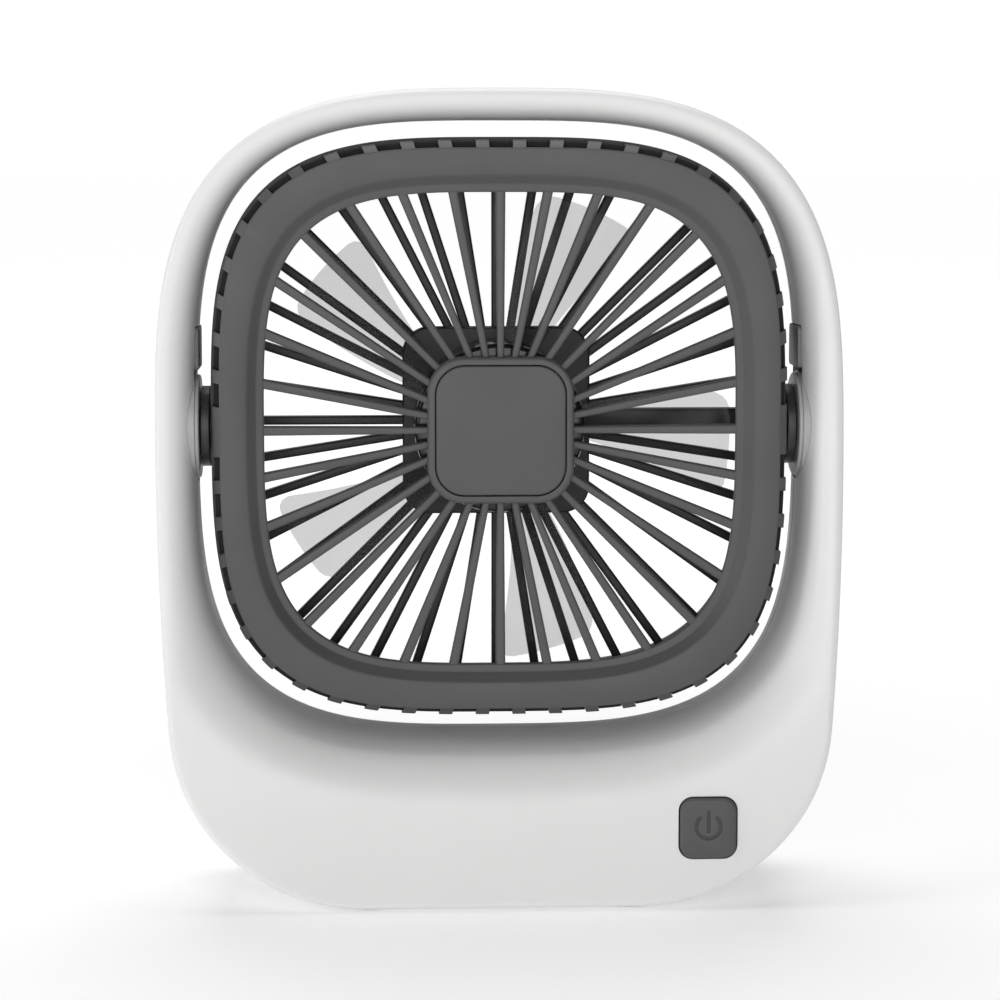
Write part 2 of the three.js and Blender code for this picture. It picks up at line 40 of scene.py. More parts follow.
# ------------------------------------------------------------------ camera
PZ = 98.0                                     # height of the tilt axis, mm
OC = 97.25                                    # centre height of the outline and the opening
CAM_AZ, CAM_EL, CAM_D = -2.6, 7.1, 600.0
AIM = (0.4, 0.0, 82.2)
cam_data = bpy.data.cameras.new("view")
cam_data.sensor_width = 36.0
cam_data.lens = 36.0 * 4.8 * CAM_D / 1000.0
cam_data.clip_start, cam_data.clip_end = 0.02, 60.0
cam = bpy.data.objects.new("view", cam_data)
scene.collection.objects.link(cam)
a, e = math.radians(CAM_AZ), math.radians(CAM_EL)
away = Vector((math.sin(a) * math.cos(e), -math.cos(a) * math.cos(e), math.sin(e)))
cam.location = (Vector(AIM) + away * CAM_D) * MM
cam.rotation_euler = (-away).to_track_quat("-Z", "Y").to_euler()
scene.camera = cam
scene.view_settings.view_transform = "Standard"
scene.view_settings.look = "None"

# ------------------------------------------------------------------ materials
def nodes_of(name):
    m = bpy.data.materials.new(name)
    m.use_nodes = True
    nt = m.node_tree
    return m, nt, nt.nodes["Principled BSDF"]


def plastic(name, colour, rough=0.5, var=0.03, grain=0.22, bump=0.06, spec=0.5, mottling=9.0, edge=0.12, coat=0.0):
    """Moulded plastic: spark-eroded grain in the bump, slow drift of shade and gloss, and a painted highlight that
    makes convex edges a little brighter.
    """
    m, nt, b = nodes_of(name)
    N, L = nt.nodes, nt.links
    tc = N.new("ShaderNodeTexCoord")
    # slow drift of the shade
    n1 = N.new("ShaderNodeTexNoise")
    n1.inputs["Scale"].default_value = mottling / 0.1
    n1.inputs["Detail"].default_value = 3.0
    L.new(tc.outputs["Object"], n1.inputs["Vector"])
    ramp = N.new("ShaderNodeMapRange")
    ramp.inputs["From Min"].default_value, ramp.inputs["From Max"].default_value = 0.3, 0.7
    ramp.inputs["To Min"].default_value, ramp.inputs["To Max"].default_value = 1 - var, 1 + var
    L.new(n1.outputs["Fac"], ramp.inputs["Value"])
    # painted highlight: convex edges (high pointiness) are brightened
    geo = N.new("ShaderNodeNewGeometry")
    edge_highlight = N.new("ShaderNodeMapRange")
    edge_highlight.inputs["From Min"].default_value, edge_highlight.inputs["From Max"].default_value = 0.52, 0.62
    edge_highlight.inputs["To Min"].default_value, edge_highlight.inputs["To Max"].default_value = 1.0, 1.0 + edge
    L.new(geo.outputs["Pointiness"], edge_highlight.inputs["Value"])
    mul = N.new("ShaderNodeMath"); mul.operation = "MULTIPLY"
    L.new(ramp.outputs["Result"], mul.inputs[0]); L.new(edge_highlight.outputs["Result"], mul.inputs[1])
    mix = N.new("ShaderNodeVectorMath"); mix.operation = "SCALE"
    mix.inputs[0].default_value = colour
    L.new(mul.outputs["Value"], mix.inputs["Scale"])
    L.new(mix.outputs["Vector"], b.inputs["Base Color"])
    # grain
    g = N.new("ShaderNodeTexNoise")
    g.inputs["Scale"].default_value = 1.0 / (grain * MM)
    g.inputs["Detail"].default_value = 4.0
    g.inputs["Roughness"].default_value = 0.62
    L.new(tc.outputs["Object"], g.inputs["Vector"])
    bp = N.new("ShaderNodeBump")
    bp.inputs["Strength"].default_value = 1.0
    bp.inputs["Distance"].default_value = bump * MM * 0.12
    L.new(g.outputs["Fac"], bp.inputs["Height"])
    L.new(bp.outputs["Normal"], b.inputs["Normal"])
    # gloss follows the grain and a fine smudging
    n2 = N.new("ShaderNodeTexNoise")
    n2.inputs["Scale"].default_value = 60.0
    n2.inputs["Detail"].default_value = 5.0
    L.new(tc.outputs["Object"], n2.inputs["Vector"])
    rr = N.new("ShaderNodeMapRange")
    rr.inputs["From Min"].default_value, rr.inputs["From Max"].default_value = 0.25, 0.75
    rr.inputs["To Min"].default_value, rr.inputs["To Max"].default_value = rough - 0.06, rough + 0.06
    L.new(n2.outputs["Fac"], rr.inputs["Value"])
    L.new(rr.outputs["Result"], b.inputs["Roughness"])
    b.inputs["Specular IOR Level"].default_value = spec
    b.inputs["Coat Weight"].default_value = coat
    b.inputs["Coat Roughness"].default_value = 0.2
    return m


def metal(name, colour, rough=0.3, brushed=0.0, grain=0.15, var=0.08):
    """Bare metal with fine scratches and dull patches."""
    m, nt, b = nodes_of(name)
    N, L = nt.nodes, nt.links
    tc = N.new("ShaderNodeTexCoord")
    n1 = N.new("ShaderNodeTexNoise")
    n1.inputs["Scale"].default_value = 320.0
    n1.inputs["Detail"].default_value = 5.0
    L.new(tc.outputs["Object"], n1.inputs["Vector"])
    r = N.new("ShaderNodeMapRange")
    r.inputs["To Min"].default_value, r.inputs["To Max"].default_value = rough - 0.1, rough + 0.14
    L.new(n1.outputs["Fac"], r.inputs["Value"])
    L.new(r.outputs["Result"], b.inputs["Roughness"])
    c = N.new("ShaderNodeMapRange")
    c.inputs["To Min"].default_value, c.inputs["To Max"].default_value = 1 - var, 1 + var
    L.new(n1.outputs["Fac"], c.inputs["Value"])
    s = N.new("ShaderNodeVectorMath"); s.operation = "SCALE"
    s.inputs[0].default_value = colour
    L.new(c.outputs["Result"], s.inputs["Scale"])
    L.new(s.outputs["Vector"], b.inputs["Base Color"])
    mp = N.new("ShaderNodeMapping")
    mp.inputs["Scale"].default_value = (1.0, 1.0, 1.0 + 30.0 * brushed)
    L.new(tc.outputs["Object"], mp.inputs["Vector"])
    g = N.new("ShaderNodeTexNoise")
    g.inputs["Scale"].default_value = 1.0 / (grain * MM)
    g.inputs["Detail"].default_value = 3.0
    L.new(mp.outputs["Vector"], g.inputs["Vector"])
    bp = N.new("ShaderNodeBump")
    bp.inputs["Strength"].default_value = 1.0
    bp.inputs["Distance"].default_value = 0.006 * MM
    L.new(g.outputs["Fac"], bp.inputs["Height"])
    L.new(bp.outputs["Normal"], b.inputs["Normal"])
    b.inputs["Metallic"].default_value = 1.0
    return m


def clear(name, colour, alpha, rough=0.12):
    """Smoked translucent moulding: thin, glossy, a little cloudy."""
    m, nt, b = nodes_of(name)
    N, L = nt.nodes, nt.links
    tc = N.new("ShaderNodeTexCoord")
    n1 = N.new("ShaderNodeTexNoise")
    n1.inputs["Scale"].default_value = 55.0
    n1.inputs["Detail"].default_value = 4.0
    L.new(tc.outputs["Object"], n1.inputs["Vector"])
    c = N.new("ShaderNodeMapRange")
    c.inputs["To Min"].default_value, c.inputs["To Max"].default_value = 0.94, 1.06
    L.new(n1.outputs["Fac"], c.inputs["Value"])
    s = N.new("ShaderNodeVectorMath"); s.operation = "SCALE"
    s.inputs[0].default_value = colour
    L.new(c.outputs["Result"], s.inputs["Scale"])
    L.new(s.outputs["Vector"], b.inputs["Base Color"])
    r = N.new("ShaderNodeMapRange")
    r.inputs["To Min"].default_value, r.inputs["To Max"].default_value = rough - 0.05, rough + 0.08
    L.new(n1.outputs["Fac"], r.inputs["Value"])
    L.new(r.outputs["Result"], b.inputs["Roughness"])
    g = N.new("ShaderNodeTexNoise")
    g.inputs["Scale"].default_value = 900.0
    L.new(tc.outputs["Object"], g.inputs["Vector"])
    bp = N.new("ShaderNodeBump")
    bp.inputs["Distance"].default_value = 0.0016 * MM
    L.new(g.outputs["Fac"], bp.inputs["Height"])
    L.new(bp.outputs["Normal"], b.inputs["Normal"])
    b.inputs["Alpha"].default_value = alpha
    b.inputs["IOR"].default_value = 1.5
    m.surface_render_method = "BLENDED"
    return m


# edge sets the strength of the painted highlight on convex edges
M_WHITE = plastic("white_shell", (0.80, 0.80, 0.795), rough=0.42, var=0.006, grain=0.20, bump=0.05, edge=0.0)
M_GREY = plastic("grey_shell", (0.068, 0.068, 0.0692), rough=0.48, var=0.02, grain=0.18, bump=0.08, edge=0.10)
M_CAP = plastic("grey_cap", (0.071, 0.071, 0.0722), rough=0.50, var=0.02, grain=0.16, bump=0.08, edge=0.10)
M_BLACK = plastic("black_guard", (0.013, 0.013, 0.0135), rough=0.45, var=0.05, grain=0.20, bump=0.08, edge=0.25)
M_BOSS = plastic("black_boss", (0.030, 0.030, 0.031), rough=0.42, var=0.04, grain=0.20, bump=0.06, edge=0.2)
# pivot discs: white plastic given a mid grey, painted shade for their place inside the funnel
M_DISC_SHADE = plastic("disc_painted_shade", (0.40, 0.40, 0.405), rough=0.40, var=0.01, grain=0.22, bump=0.05, edge=0.05)
# slot covers: white plastic given a dark grey, painted shade for the inner wall
M_COVER_SHADE = plastic("cover_painted_shade", (0.155, 0.155, 0.157), rough=0.5, var=0.02, grain=0.2, bump=0.06, edge=0.08)
# slot teeth: black plastic made darker than the guard's black, painted shade in the slots
M_TEETH_SHADE = plastic("slot_black_painted_shade", (0.006, 0.006, 0.0062), rough=0.6, var=0.05, grain=0.20, bump=0.08, edge=0.1, spec=0.25)
M_BUTTON = plastic("button", (0.074, 0.074, 0.075), rough=0.45, var=0.02, grain=0.15, bump=0.07, edge=0.12)
M_SYMBOL = plastic("button_mark", (0.046, 0.046, 0.047), rough=0.5, var=0.02, grain=0.15, bump=0.05, edge=0.0)
M_CLEAR = clear("clear_blades", (0.03, 0.031, 0.032), 0.24, rough=0.2)
M_HUB = clear("clear_hub", (0.016, 0.016, 0.017), 0.94, rough=0.14)
M_RUBBER = plastic("foot_rubber", (0.018, 0.018, 0.018), rough=0.85, var=0.08, grain=0.35, bump=0.3, edge=0.1, spec=0.3)
M_STEEL = metal("screw_steel", (0.42, 0.42, 0.43), 0.35)
M_PLATE = metal("plated_steel", (0.62, 0.63, 0.64), 0.25, brushed=0.5)
M_CORE = metal("core_steel", (0.32, 0.33, 0.34), 0.45, brushed=1.0)
M_COPPER = metal("copper_wire", (0.60, 0.24, 0.10), 0.35, brushed=1.0, grain=0.3)
M_BRONZE = metal("bronze", (0.50, 0.34, 0.14), 0.45)
M_MAGNET = plastic("magnet", (0.03, 0.03, 0.033), rough=0.6, grain=0.3, bump=0.2)
M_BOARD = plastic("board_mask", (0.02, 0.13, 0.05), rough=0.3, var=0.08, grain=0.5, bump=0.1)
M_CELL = plastic("cell_sleeve", (0.05, 0.16, 0.38), rough=0.25, var=0.03, grain=0.6, bump=0.05)
M_PORT = plastic("port_tongue", (0.02, 0.02, 0.02), rough=0.4)

# ------------------------------------------------------------------ mesh helpers
def new_mesh(name, verts, faces, mat, smooth=True, sharp=None, mats=None, fmat=None):
    me = bpy.data.meshes.new(name)
    me.from_pydata([(x * MM, y * MM, z * MM) for x, y, z in verts], [], faces)
    bm = bmesh.new(); bm.from_mesh(me)
    bmesh.ops.remove_doubles(bm, verts=bm.verts, dist=1e-7)
    bmesh.ops.recalc_face_normals(bm, faces=bm.faces)
    bm.to_mesh(me); bm.free()
    for m in (mats or [mat]):
        me.materials.append(m)
    if smooth:
        me.polygons.foreach_set("use_smooth", [True] * len(me.polygons))
        if sharp:
            me.set_sharp_from_angle(angle=math.radians(sharp))
    me.update()
    ob = bpy.data.objects.new(name, me)
    scene.collection.objects.link(ob)
    return ob


def fillet(points, radii, seg=6):
    """A closed outline of straight runs with its corners rounded."""
    out, n = [], len(points)
    for i in range(n):
        p0, p, p1 = Vector(points[i - 1]), Vector(points[i]), Vector(points[(i + 1) % n])
        r = radii[i]
        if r <= 0:
            out.append(tuple(p)); continue
        u, v = (p0 - p), (p1 - p)
        lu, lv = u.length, v.length
        u, v = u / lu, v / lv
        ang = math.acos(max(-1.0, min(1.0, u.dot(v))))
        t = min(r / math.tan(ang / 2), 0.48 * lu, 0.48 * lv)
        r = t * math.tan(ang / 2)
        c = p + (u + v).normalized() * (r / math.sin(ang / 2))
        s, e2 = p + u * t, p + v * t
        a0, a1 = math.atan2(s[1] - c[1], s[0] - c[0]), math.atan2(e2[1] - c[1], e2[0] - c[0])
        d = (a1 - a0 + math.pi) % (2 * math.pi) - math.pi
        k = max(2, int(seg * abs(d) / (math.pi / 2) + 0.99))
        for j in range(k + 1):
            q = a0 + d * j / k
            out.append((c[0] + r * math.cos(q), c[1] + r * math.sin(q)))
    return out


def ring(name, phis, section, mat, sharp=35, cz=PZ, **kw):
    """A closed section carried round a centre at height cz; section(i, phi) gives (radius, y)."""
    verts, faces, k = [], [], 0
    for i, phi in enumerate(phis):
        pts = section(i, phi)
        k = len(pts)
        s, c = math.sin(phi), math.cos(phi)
        verts += [(r * s, y, cz + r * c) for r, y in pts]
    n = len(phis)
    for i in range(n):
        m = (i + 1) % n
        for j in range(k):
            q = (j + 1) % k
            faces.append((i * k + j, m * k + j, m * k + q, i * k + q))
    return new_mesh(name, verts, faces, mat, sharp=sharp, **kw)


def lathe(profile, seg=96, axis="Y", centre=(0, 0, 0)):
    """verts and faces of a closed profile (radius, along) turned about an axis."""
    verts, faces, k = [], [], len(profile)
    for i in range(seg):
        t = 2 * math.pi * i / seg
        for r, h in profile:
            a, b = r * math.sin(t), r * math.cos(t)
            p = {"Y": (a, h, b), "X": (h, a, b), "Z": (a, b, h)}[axis]
            verts.append(tuple(p[q] + centre[q] for q in range(3)))
    for i in range(seg):
        m = (i + 1) % seg
        for j in range(k):
            q = (j + 1) % k
            faces.append((i * k + j, m * k + j, m * k + q, i * k + q))
    return verts, faces


def turned(name, profile, mat, seg=96, axis="Y", centre=(0, 0, 0), sharp=35):
    v, f = lathe(profile, seg, axis, centre)
    return new_mesh(name, v, f, mat, sharp=sharp)


def rr(cx, cz, hw, hh, r, seg=10):
    out = []
    for sx, sz, a0 in ((1, 1, 0), (-1, 1, 90), (-1, -1, 180), (1, -1, 270)):
        for i in range(seg + 1):
            t = math.radians(a0 + 90 * i / seg)
            out.append((cx + sx * (hw - r) + r * math.cos(t), cz + sz * (hh - r) + r * math.sin(t)))
    return out


def stack(loops):
    """verts, faces of a solid lofted through loops of (x, y, z), both ends closed."""
    verts = [p for l in loops for p in l]
    k, faces = len(loops[0]), []
    for i in range(len(loops) - 1):
        for j in range(k):
            q = (j + 1) % k
            faces.append((i * k + j, i * k + q, (i + 1) * k + q, (i + 1) * k + j))
    faces.append(tuple(range(k - 1, -1, -1)))
    faces.append(tuple((len(loops) - 1) * k + j for j in range(k)))
    return verts, faces


def pillow(name, cx, cz, hw, hh, r, layers, mat, seg=10, sharp=35):
    """Rounded-rectangle block; layers are (inset, y) from one face to the other."""
    loops = [[(x, y, z) for x, z in rr(cx, cz, hw - i, hh - i, max(r - i, 0.05), seg)] for i, y in layers]
    v, f = stack(loops)
    return new_mesh(name, v, f, mat, sharp=sharp)


def merge(target, parts):
    """Joins several (verts, faces) lists into one."""
    v, f = list(target[0]), list(target[1])
    for pv, pf in parts:
        o = len(v)
        v += pv
        f += [tuple(i + o for i in q) for q in pf]
    return v, f


def cut(ob, tool_parts, op="DIFFERENCE"):
    """Boolean with loose helper solids that are removed afterwards."""
    for v, f in tool_parts:
        me = bpy.data.meshes.new("tool")
        me.from_pydata([(x * MM, y * MM, z * MM) for x, y, z in v], [], f)
        bm = bmesh.new(); bm.from_mesh(me)
        bmesh.ops.remove_doubles(bm, verts=bm.verts, dist=1e-7)
        bmesh.ops.recalc_face_normals(bm, faces=bm.faces)
        bm.to_mesh(me); bm.free()
        tool = bpy.data.objects.new("tool", me)
        scene.collection.objects.link(tool)
        mod = ob.modifiers.new("cut", "BOOLEAN")
        mod.operation, mod.object, mod.solver = op, tool, "EXACT"
        dg = bpy.context.evaluated_depsgraph_get()
        done = bpy.data.meshes.new_from_object(ob.evaluated_get(dg))
        ob.modifiers.clear()
        old = ob.data
        ob.data = done
        bpy.data.meshes.remove(old)
        bpy.data.objects.remove(tool)
        bpy.data.meshes.remove(me)
    ob.data.polygons.foreach_set("use_smooth", [True] * len(ob.data.polygons))
    ob.data.set_sharp_from_angle(angle=math.radians(35))
    ob.data.update()


def prism(loop_xz, y0, y1):
    return stack([[(x, y, z) for x, z in loop_xz] for y in (y0, y1)])


def rod_y(r, x, z, y0, y1, seg=48):
    return prism([(x + r * math.cos(2 * math.pi * i / seg), z + r * math.sin(2 * math.pi * i / seg)) for i in range(seg)], y0, y1)


def rod_x(r, x0, x1, y, z, seg=96):
    return stack([[(x, y + r * math.cos(2 * math.pi * i / seg), z + r * math.sin(2 * math.pi * i / seg)) for i in range(seg)] for x in (x0, x1)])


def block(x0, x1, y0, y1, z0, z1):
    return stack([[(x0, y, z0), (x1, y, z0), (x1, y, z1), (x0, y, z1)] for y in (y0, y1)])

# ------------------------------------------------------------------ outlines (mm)
OUT_A, OUT_B, OUT_N = 70.0, 69.9, 3.1
CORNER_R, CORNER_X, CORNER_Z, BOTTOM_Z = 39.5, 28.3, 40.0, 0.5
OPEN_A, OPEN_B, OPEN_N = 62.0, 63.35, 3.45
HEAD_A, HEAD_B, HEAD_N = 59.05, 59.25, 3.45
GRILLE_A, GRILLE_B, GRILLE_N = 48.05, 48.2, 3.55
REAR_A, REAR_N, TAPER = 53.5, 3.3, 1.2
HF, HB, HSEAM = -14.5, 14.2, -5.95
LAND, EDGE_R, SEAM = 2.0, 1.8, 0.15


def super_r(phi, A, B, n):
    return 1 / ((abs(math.sin(phi)) / A) ** n + (abs(math.cos(phi)) / B) ** n) ** (1 / n)


def half_width(z):
    if z >= CORNER_Z - 3.0:
        return OUT_A - 0.00064 * (OC - z) ** 2
    return CORNER_X + math.sqrt(max(CORNER_R ** 2 - (CORNER_Z - z) ** 2, 0))


def outline_r(phi):
    if math.cos(phi) >= 0:
        return super_r(phi, OUT_A, OUT_B, OUT_N)
    lo, hi = 40.0, 140.0
    for _ in range(40):
        r = (lo + hi) / 2
        z = OC + r * math.cos(phi)
        if z >= BOTTOM_Z and abs(r * math.sin(phi)) <= half_width(z):
            lo = r
        else:
            hi = r
    return lo


def open_r(phi): return super_r(phi, OPEN_A, OPEN_B, OPEN_N)
def head_r(phi): return super_r(phi, HEAD_A, HEAD_B, HEAD_N)
def grille_r(phi): return super_r(phi, GRILLE_A, GRILLE_B, GRILLE_N)
def rear_r(phi): return super_r(phi, REAR_A, REAR_A, REAR_N)
def half_depth(z): return 21.5 - 13.0 * (max(z - 20, 0) / 146.5) ** 1.15


# ------------------------------------------------------------------ housing shells
def housing_section(side):
    def section(i, phi):
        r0 = open_r(phi)
        w = outline_r(phi) - r0
        t = min((1 - math.cos(phi)) / 1.75, 1.0)
        c = min(4.6 + 8.4 * t * (2 - t), w - EDGE_R - 0.3)
        D = lambda s: half_depth(OC + (r0 + s) * math.cos(phi))
        out = [(0.25, SEAM), (0.07, SEAM + 0.07), (0.0, SEAM + 0.25), (0, LAND * 0.6), (0, LAND)]
        for k in range(1, 17):
            q = 1 - math.cos(k / 16 * math.pi / 2)
            s = q * c
            out.append((s, LAND + (D(s) - LAND) * math.sin(k / 16 * math.pi / 2)))
        s1 = w - EDGE_R
        for k in range(1, 5):
            s = c + (s1 - c) * k / 4
            out.append((s, D(s)))
        for k in range(1, 9):
            b = k / 8 * math.pi / 2
            s = s1 + EDGE_R * math.sin(b)
            out.append((s, D(s) - EDGE_R * (1 - math.cos(b))))
        de = D(w) - EDGE_R
        out += [(w, de * 0.6), (w, SEAM + 0.25), (w - 0.07, SEAM + 0.07), (w - 0.25, SEAM)]
        # the inside of the wall
        wall = 2.0
        inner = [(w - wall, SEAM), (w - wall, de - 0.3)]
        cw = max(c, 2.3)
        inner += [(w - wall - 0.3, de - 0.1), (max(cw, w * 0.55) if w > 12 else (w / 2 + 0.2), D(w / 2) - wall)]
        for k in range(8, 0, -1):
            b = k / 8 * math.pi / 2
            s = min(wall + (1 - math.cos(b)) * max(c - 0.4, 0.3), w - wall - 0.35)
            inner.append((s, LAND + (D(s) - wall - LAND) * math.sin(b)))
        inner.append((wall, SEAM))
        # keep the inner run tidy: distance from the seam falls all the way back
        return [(r0 + s, side * y) for s, y in out + inner]
    return section


NH = 360
phis = [2 * math.pi * i / NH for i in range(NH)]
shell_f = ring("shell_front", phis, housing_section(-1), M_WHITE, sharp=38, cz=OC)
shell_r = ring("shell_rear", phis, housing_section(1), M_WHITE, sharp=38, cz=OC)

BX, BZ, BW, BH, BR = 42.0, 17.1, 11.6, 12.5, 2.7
hole = prism(rr(BX, BZ, BW / 2 + 0.28, BH / 2 + 0.28, BR + 0.28, 10), -26, -17)
pivots = [rod_x(11.42, 57, 65.5, 0, PZ), rod_x(11.42, -65.5, -57, 0, PZ)]
slots = [block(57, 65.2, -6.5, 6.5, PZ + 6, PZ + 20.9), block(-65.2, -57, -6.5, 6.5, PZ + 6, PZ + 20.9)]
feet_at = [(-26.9, -14.5), (26.9, -14.5), (-26.9, 14.5), (26.9, 14.5)]


def rod_z(r, x, y, z0, z1, seg=48):
    return stack([[(x + r * math.cos(2 * math.pi * i / seg), y + r * math.sin(2 * math.pi * i / seg), z) for i in range(seg)] for z in (z0, z1)])


seats = {s: [rod_z(3.9, x, y, -1, 1.5) for x, y in feet_at if (y > 0) == (s > 0)] for s in (-1, 1)}
cut(shell_f, [hole] + pivots + slots + seats[-1])
wells = [rod_y(3.0, x, 28, 4.2, 24) for x in (54, -54)]
port = prism(rr(40, 13.1, 4.9, 2.0, 1.9, 10), 17, 26)
cut(shell_r, pivots + slots + seats[1] + [port] + wells)
# sleeves that line the screw wells behind the rear wall
sleeves = []
for x in (54, -54):
    sleeves.append(lathe([(1.6, 0.6), (4.2, 0.6), (4.2, 19.6), (3.05, 19.6), (3.05, 4.2), (1.6, 4.2)], 48, "Y", (x, 0, 28)))
v, f = merge(sleeves[0], sleeves[1:])
well_sleeves = new_mesh("screw_sleeves", v, f, M_WHITE, sharp=35)
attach(shell_f, "housing"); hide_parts("housing_front_shell")
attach(shell_r, "housing"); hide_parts("housing_rear_shell")
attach(well_sleeves, "housing")

# ------------------------------------------------------------------ pivots, covers, feet, button
for tag, s in (("left", -1), ("right", 1)):
    prof = fillet([(4.5, 61.4 * s), (10.65, 61.4 * s), (10.65, 62.15 * s), (11.2, 62.15 * s), (11.2, 65.2 * s), (4.5, 65.2 * s)],
                  [0.15, 0.35, 0.1, 0.45, 0.2, 0.1], 6)
    # the disc colour is painted shade on white plastic
    d = turned("disc_" + tag, prof, M_DISC_SHADE, 128, "X", (0, 0, PZ))
    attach(d, "housing"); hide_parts("pivot_disc_" + tag)
    prof = fillet([(0.0, 59.35 * s), (8.3, 59.35 * s), (8.3, 61.1 * s), (4.2, 61.1 * s), (4.2, 66.1 * s), (5.8, 66.1 * s), (5.8, 67.2 * s), (0.0, 67.2 * s)],
                  [0, 0.2, 0.15, 0.1, 0.1, 0.1, 0.3, 0], 5)
    v1, f1 = lathe(prof, 96, "X", (0, 0, PZ))
    prof2 = fillet([(0.0, 54.9 * s), (7.0, 54.9 * s), (7.0, 55.7 * s), (5.0, 55.7 * s), (5.0, 60.0 * s), (0.0, 60.0 * s)], [0, 0.3, 0.2, 0.1, 0, 0], 4)
    v2, f2 = lathe(prof2, 64, "X", (0, 0, PZ))
    v, f = merge((v1, f1), [(v2, f2)])
    b = new_mesh("boss_" + tag, v, f, M_BOSS, sharp=35)
    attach(b, "head"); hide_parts("pivot_boss_" + tag)
    lo, hi = PZ + 12.0, PZ + 20.6
    def plate(x0, x1, y, z0, z1, r):
        loop = lambda ins, x: [(x, py, pz) for py, pz in rr(0, (z0 + z1) / 2, y - ins, (z1 - z0) / 2 - ins, r, 6)]
        return stack([loop(0.25, x0), loop(0.07, x0 + s * 0.07), loop(0, x0 + s * 0.25), loop(0, x1)])
    v, f = merge(plate(61.4 * s, 65.4 * s, 6.2, lo, hi, 0.8), [plate(65.3 * s, 66.1 * s, 7.6, lo, PZ + 22.5, 0.8)])
    # the cover colour is painted shade on white plastic
    c = new_mesh("cover_" + tag, v, f, M_COVER_SHADE, sharp=35)
    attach(c, "housing"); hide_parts("slot_cover_" + tag)

for k, (x, y) in enumerate(feet_at):
    nm = ("foot_front_left", "foot_front_right", "foot_rear_left", "foot_rear_right")[k]
    prof = fillet([(0, 0.0), (3.5, 0.0), (3.5, 1.2), (0, 1.2)], [0, 0.35, 0.15, 0], 6)
    o = turned("pad_" + nm[5:], prof, M_RUBBER, 64, "Z", (x, y, 0))
    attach(o, "housing"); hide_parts(nm)

E = [(0.9, -18.3), (0.0, -18.3)]
layers = [(-0.8, -18.3), (-0.8, -19.1), (0.0, -19.1), (0.0, -21.35)]
for k in range(1, 8):
    t = k / 7 * math.pi / 2
    layers.append((0.75 * (1 - math.cos(t)), -21.35 - 0.75 * math.sin(t)))
layers += [(1.9, -22.16), (3.2, -22.19), (5.0, -22.2)]
btn = pillow("button_cap", BX, BZ, BW / 2, BH / 2, BR, layers, M_BUTTON, seg=12, sharp=40)
# power mark, sunk into the face
CZ, R, W = BZ + 0.45, 2.5, 0.8
a0, a1, n = math.radians(90 + 38), math.radians(90 + 322), 64
outer = [(BX + (R + W / 2) * math.cos(a0 + (a1 - a0) * i / n), CZ + (R + W / 2) * math.sin(a0 + (a1 - a0) * i / n)) for i in range(n + 1)]
inner = [(BX + (R - W / 2) * math.cos(a1 - (a1 - a0) * i / n), CZ + (R - W / 2) * math.sin(a1 - (a1 - a0) * i / n)) for i in range(n + 1)]
cut(btn, [prism(outer + inner, -23, -21.95), prism(rr(BX, CZ + 1.0, W / 2, 2.35, W / 2 - 0.01, 8), -23, -21.95)])
v, f = merge(prism(outer + inner, -21.99, -21.93), [prism(rr(BX, CZ + 1.0, W / 2 - 0.01, 2.34, W / 2 - 0.02, 8), -21.995, -21.92)])
mark = new_mesh("button_mark", v, f, M_SYMBOL, sharp=35)
mark.parent = btn
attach(btn, "power_button"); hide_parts("power_button")
stem = turned("button_stem", fillet([(0, -18.4), (2.0, -18.4), (2.0, -16.9), (0, -16.9)], [0, 0.1, 0.2, 0], 4), M_BUTTON, 32, "Y", (BX, 0, 16.2))
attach(stem, "power_button")

# ------------------------------------------------------------------ head, front half
# stations follow the outline so that every edge slot has a crisp start and end
SLOTS = 52
M_ARC = 4096
arc_at = [0.0]
P = lambda f: ((head_r(f) - 0.5) * math.sin(f), (head_r(f) - 0.5) * math.cos(f))
pts = [P(2 * math.pi * i / M_ARC) for i in range(M_ARC + 1)]
for i in range(1, M_ARC + 1):
    u = (pts[i][0] - pts[i - 1][0], pts[i][1] - pts[i - 1][1])
    w = (pts[i % M_ARC + 1][0] - pts[i % M_ARC][0], pts[i % M_ARC + 1][1] - pts[i % M_ARC][1])
    turn = abs(math.atan2(u[0] * w[1] - u[1] * w[0], u[0] * w[0] + u[1] * w[1]))
    arc_at.append(arc_at[-1] + math.hypot(*u) - 1.7 * turn)


def phi_at(length):
    length %= arc_at[-1]
    lo, hi = 0, M_ARC
    while hi - lo > 1:
        m = (lo + hi) // 2
        if arc_at[m] <= length:
            lo = m
        else:
            hi = m
    return 2 * math.pi * (lo + (length - arc_at[lo]) / (arc_at[hi] - arc_at[lo])) / M_ARC


pitch = arc_at[-1] / SLOTS
SLOT_W = 4.85
stations = []                                  # (phi, inside a slot)
for k in range(SLOTS):
    mid = pitch * k
    is_slot = k not in (SLOTS // 4, 3 * SLOTS // 4)
    for d in (-0.5, -0.5, -0.25, 0.0, 0.25, 0.5, 0.5):
        stations.append([mid + d * SLOT_W, is_slot])
    base = len(stations) - 7
    stations[base] = [mid - 0.5 * SLOT_W - 0.02, False]
    stations[base + 6] = [mid + 0.5 * SLOT_W + 0.02, False]
    rest = pitch - SLOT_W
    for d in (0.25, 0.5, 0.75):
        stations.append([mid + 0.5 * SLOT_W + rest * d, False])
total = arc_at[-1]
stations = sorted([(phi_at(l % total), s) for l, s in stations], key=lambda t: t[0])
SLOT_IN = 1.6                                  # how far a slot reaches in from the edge


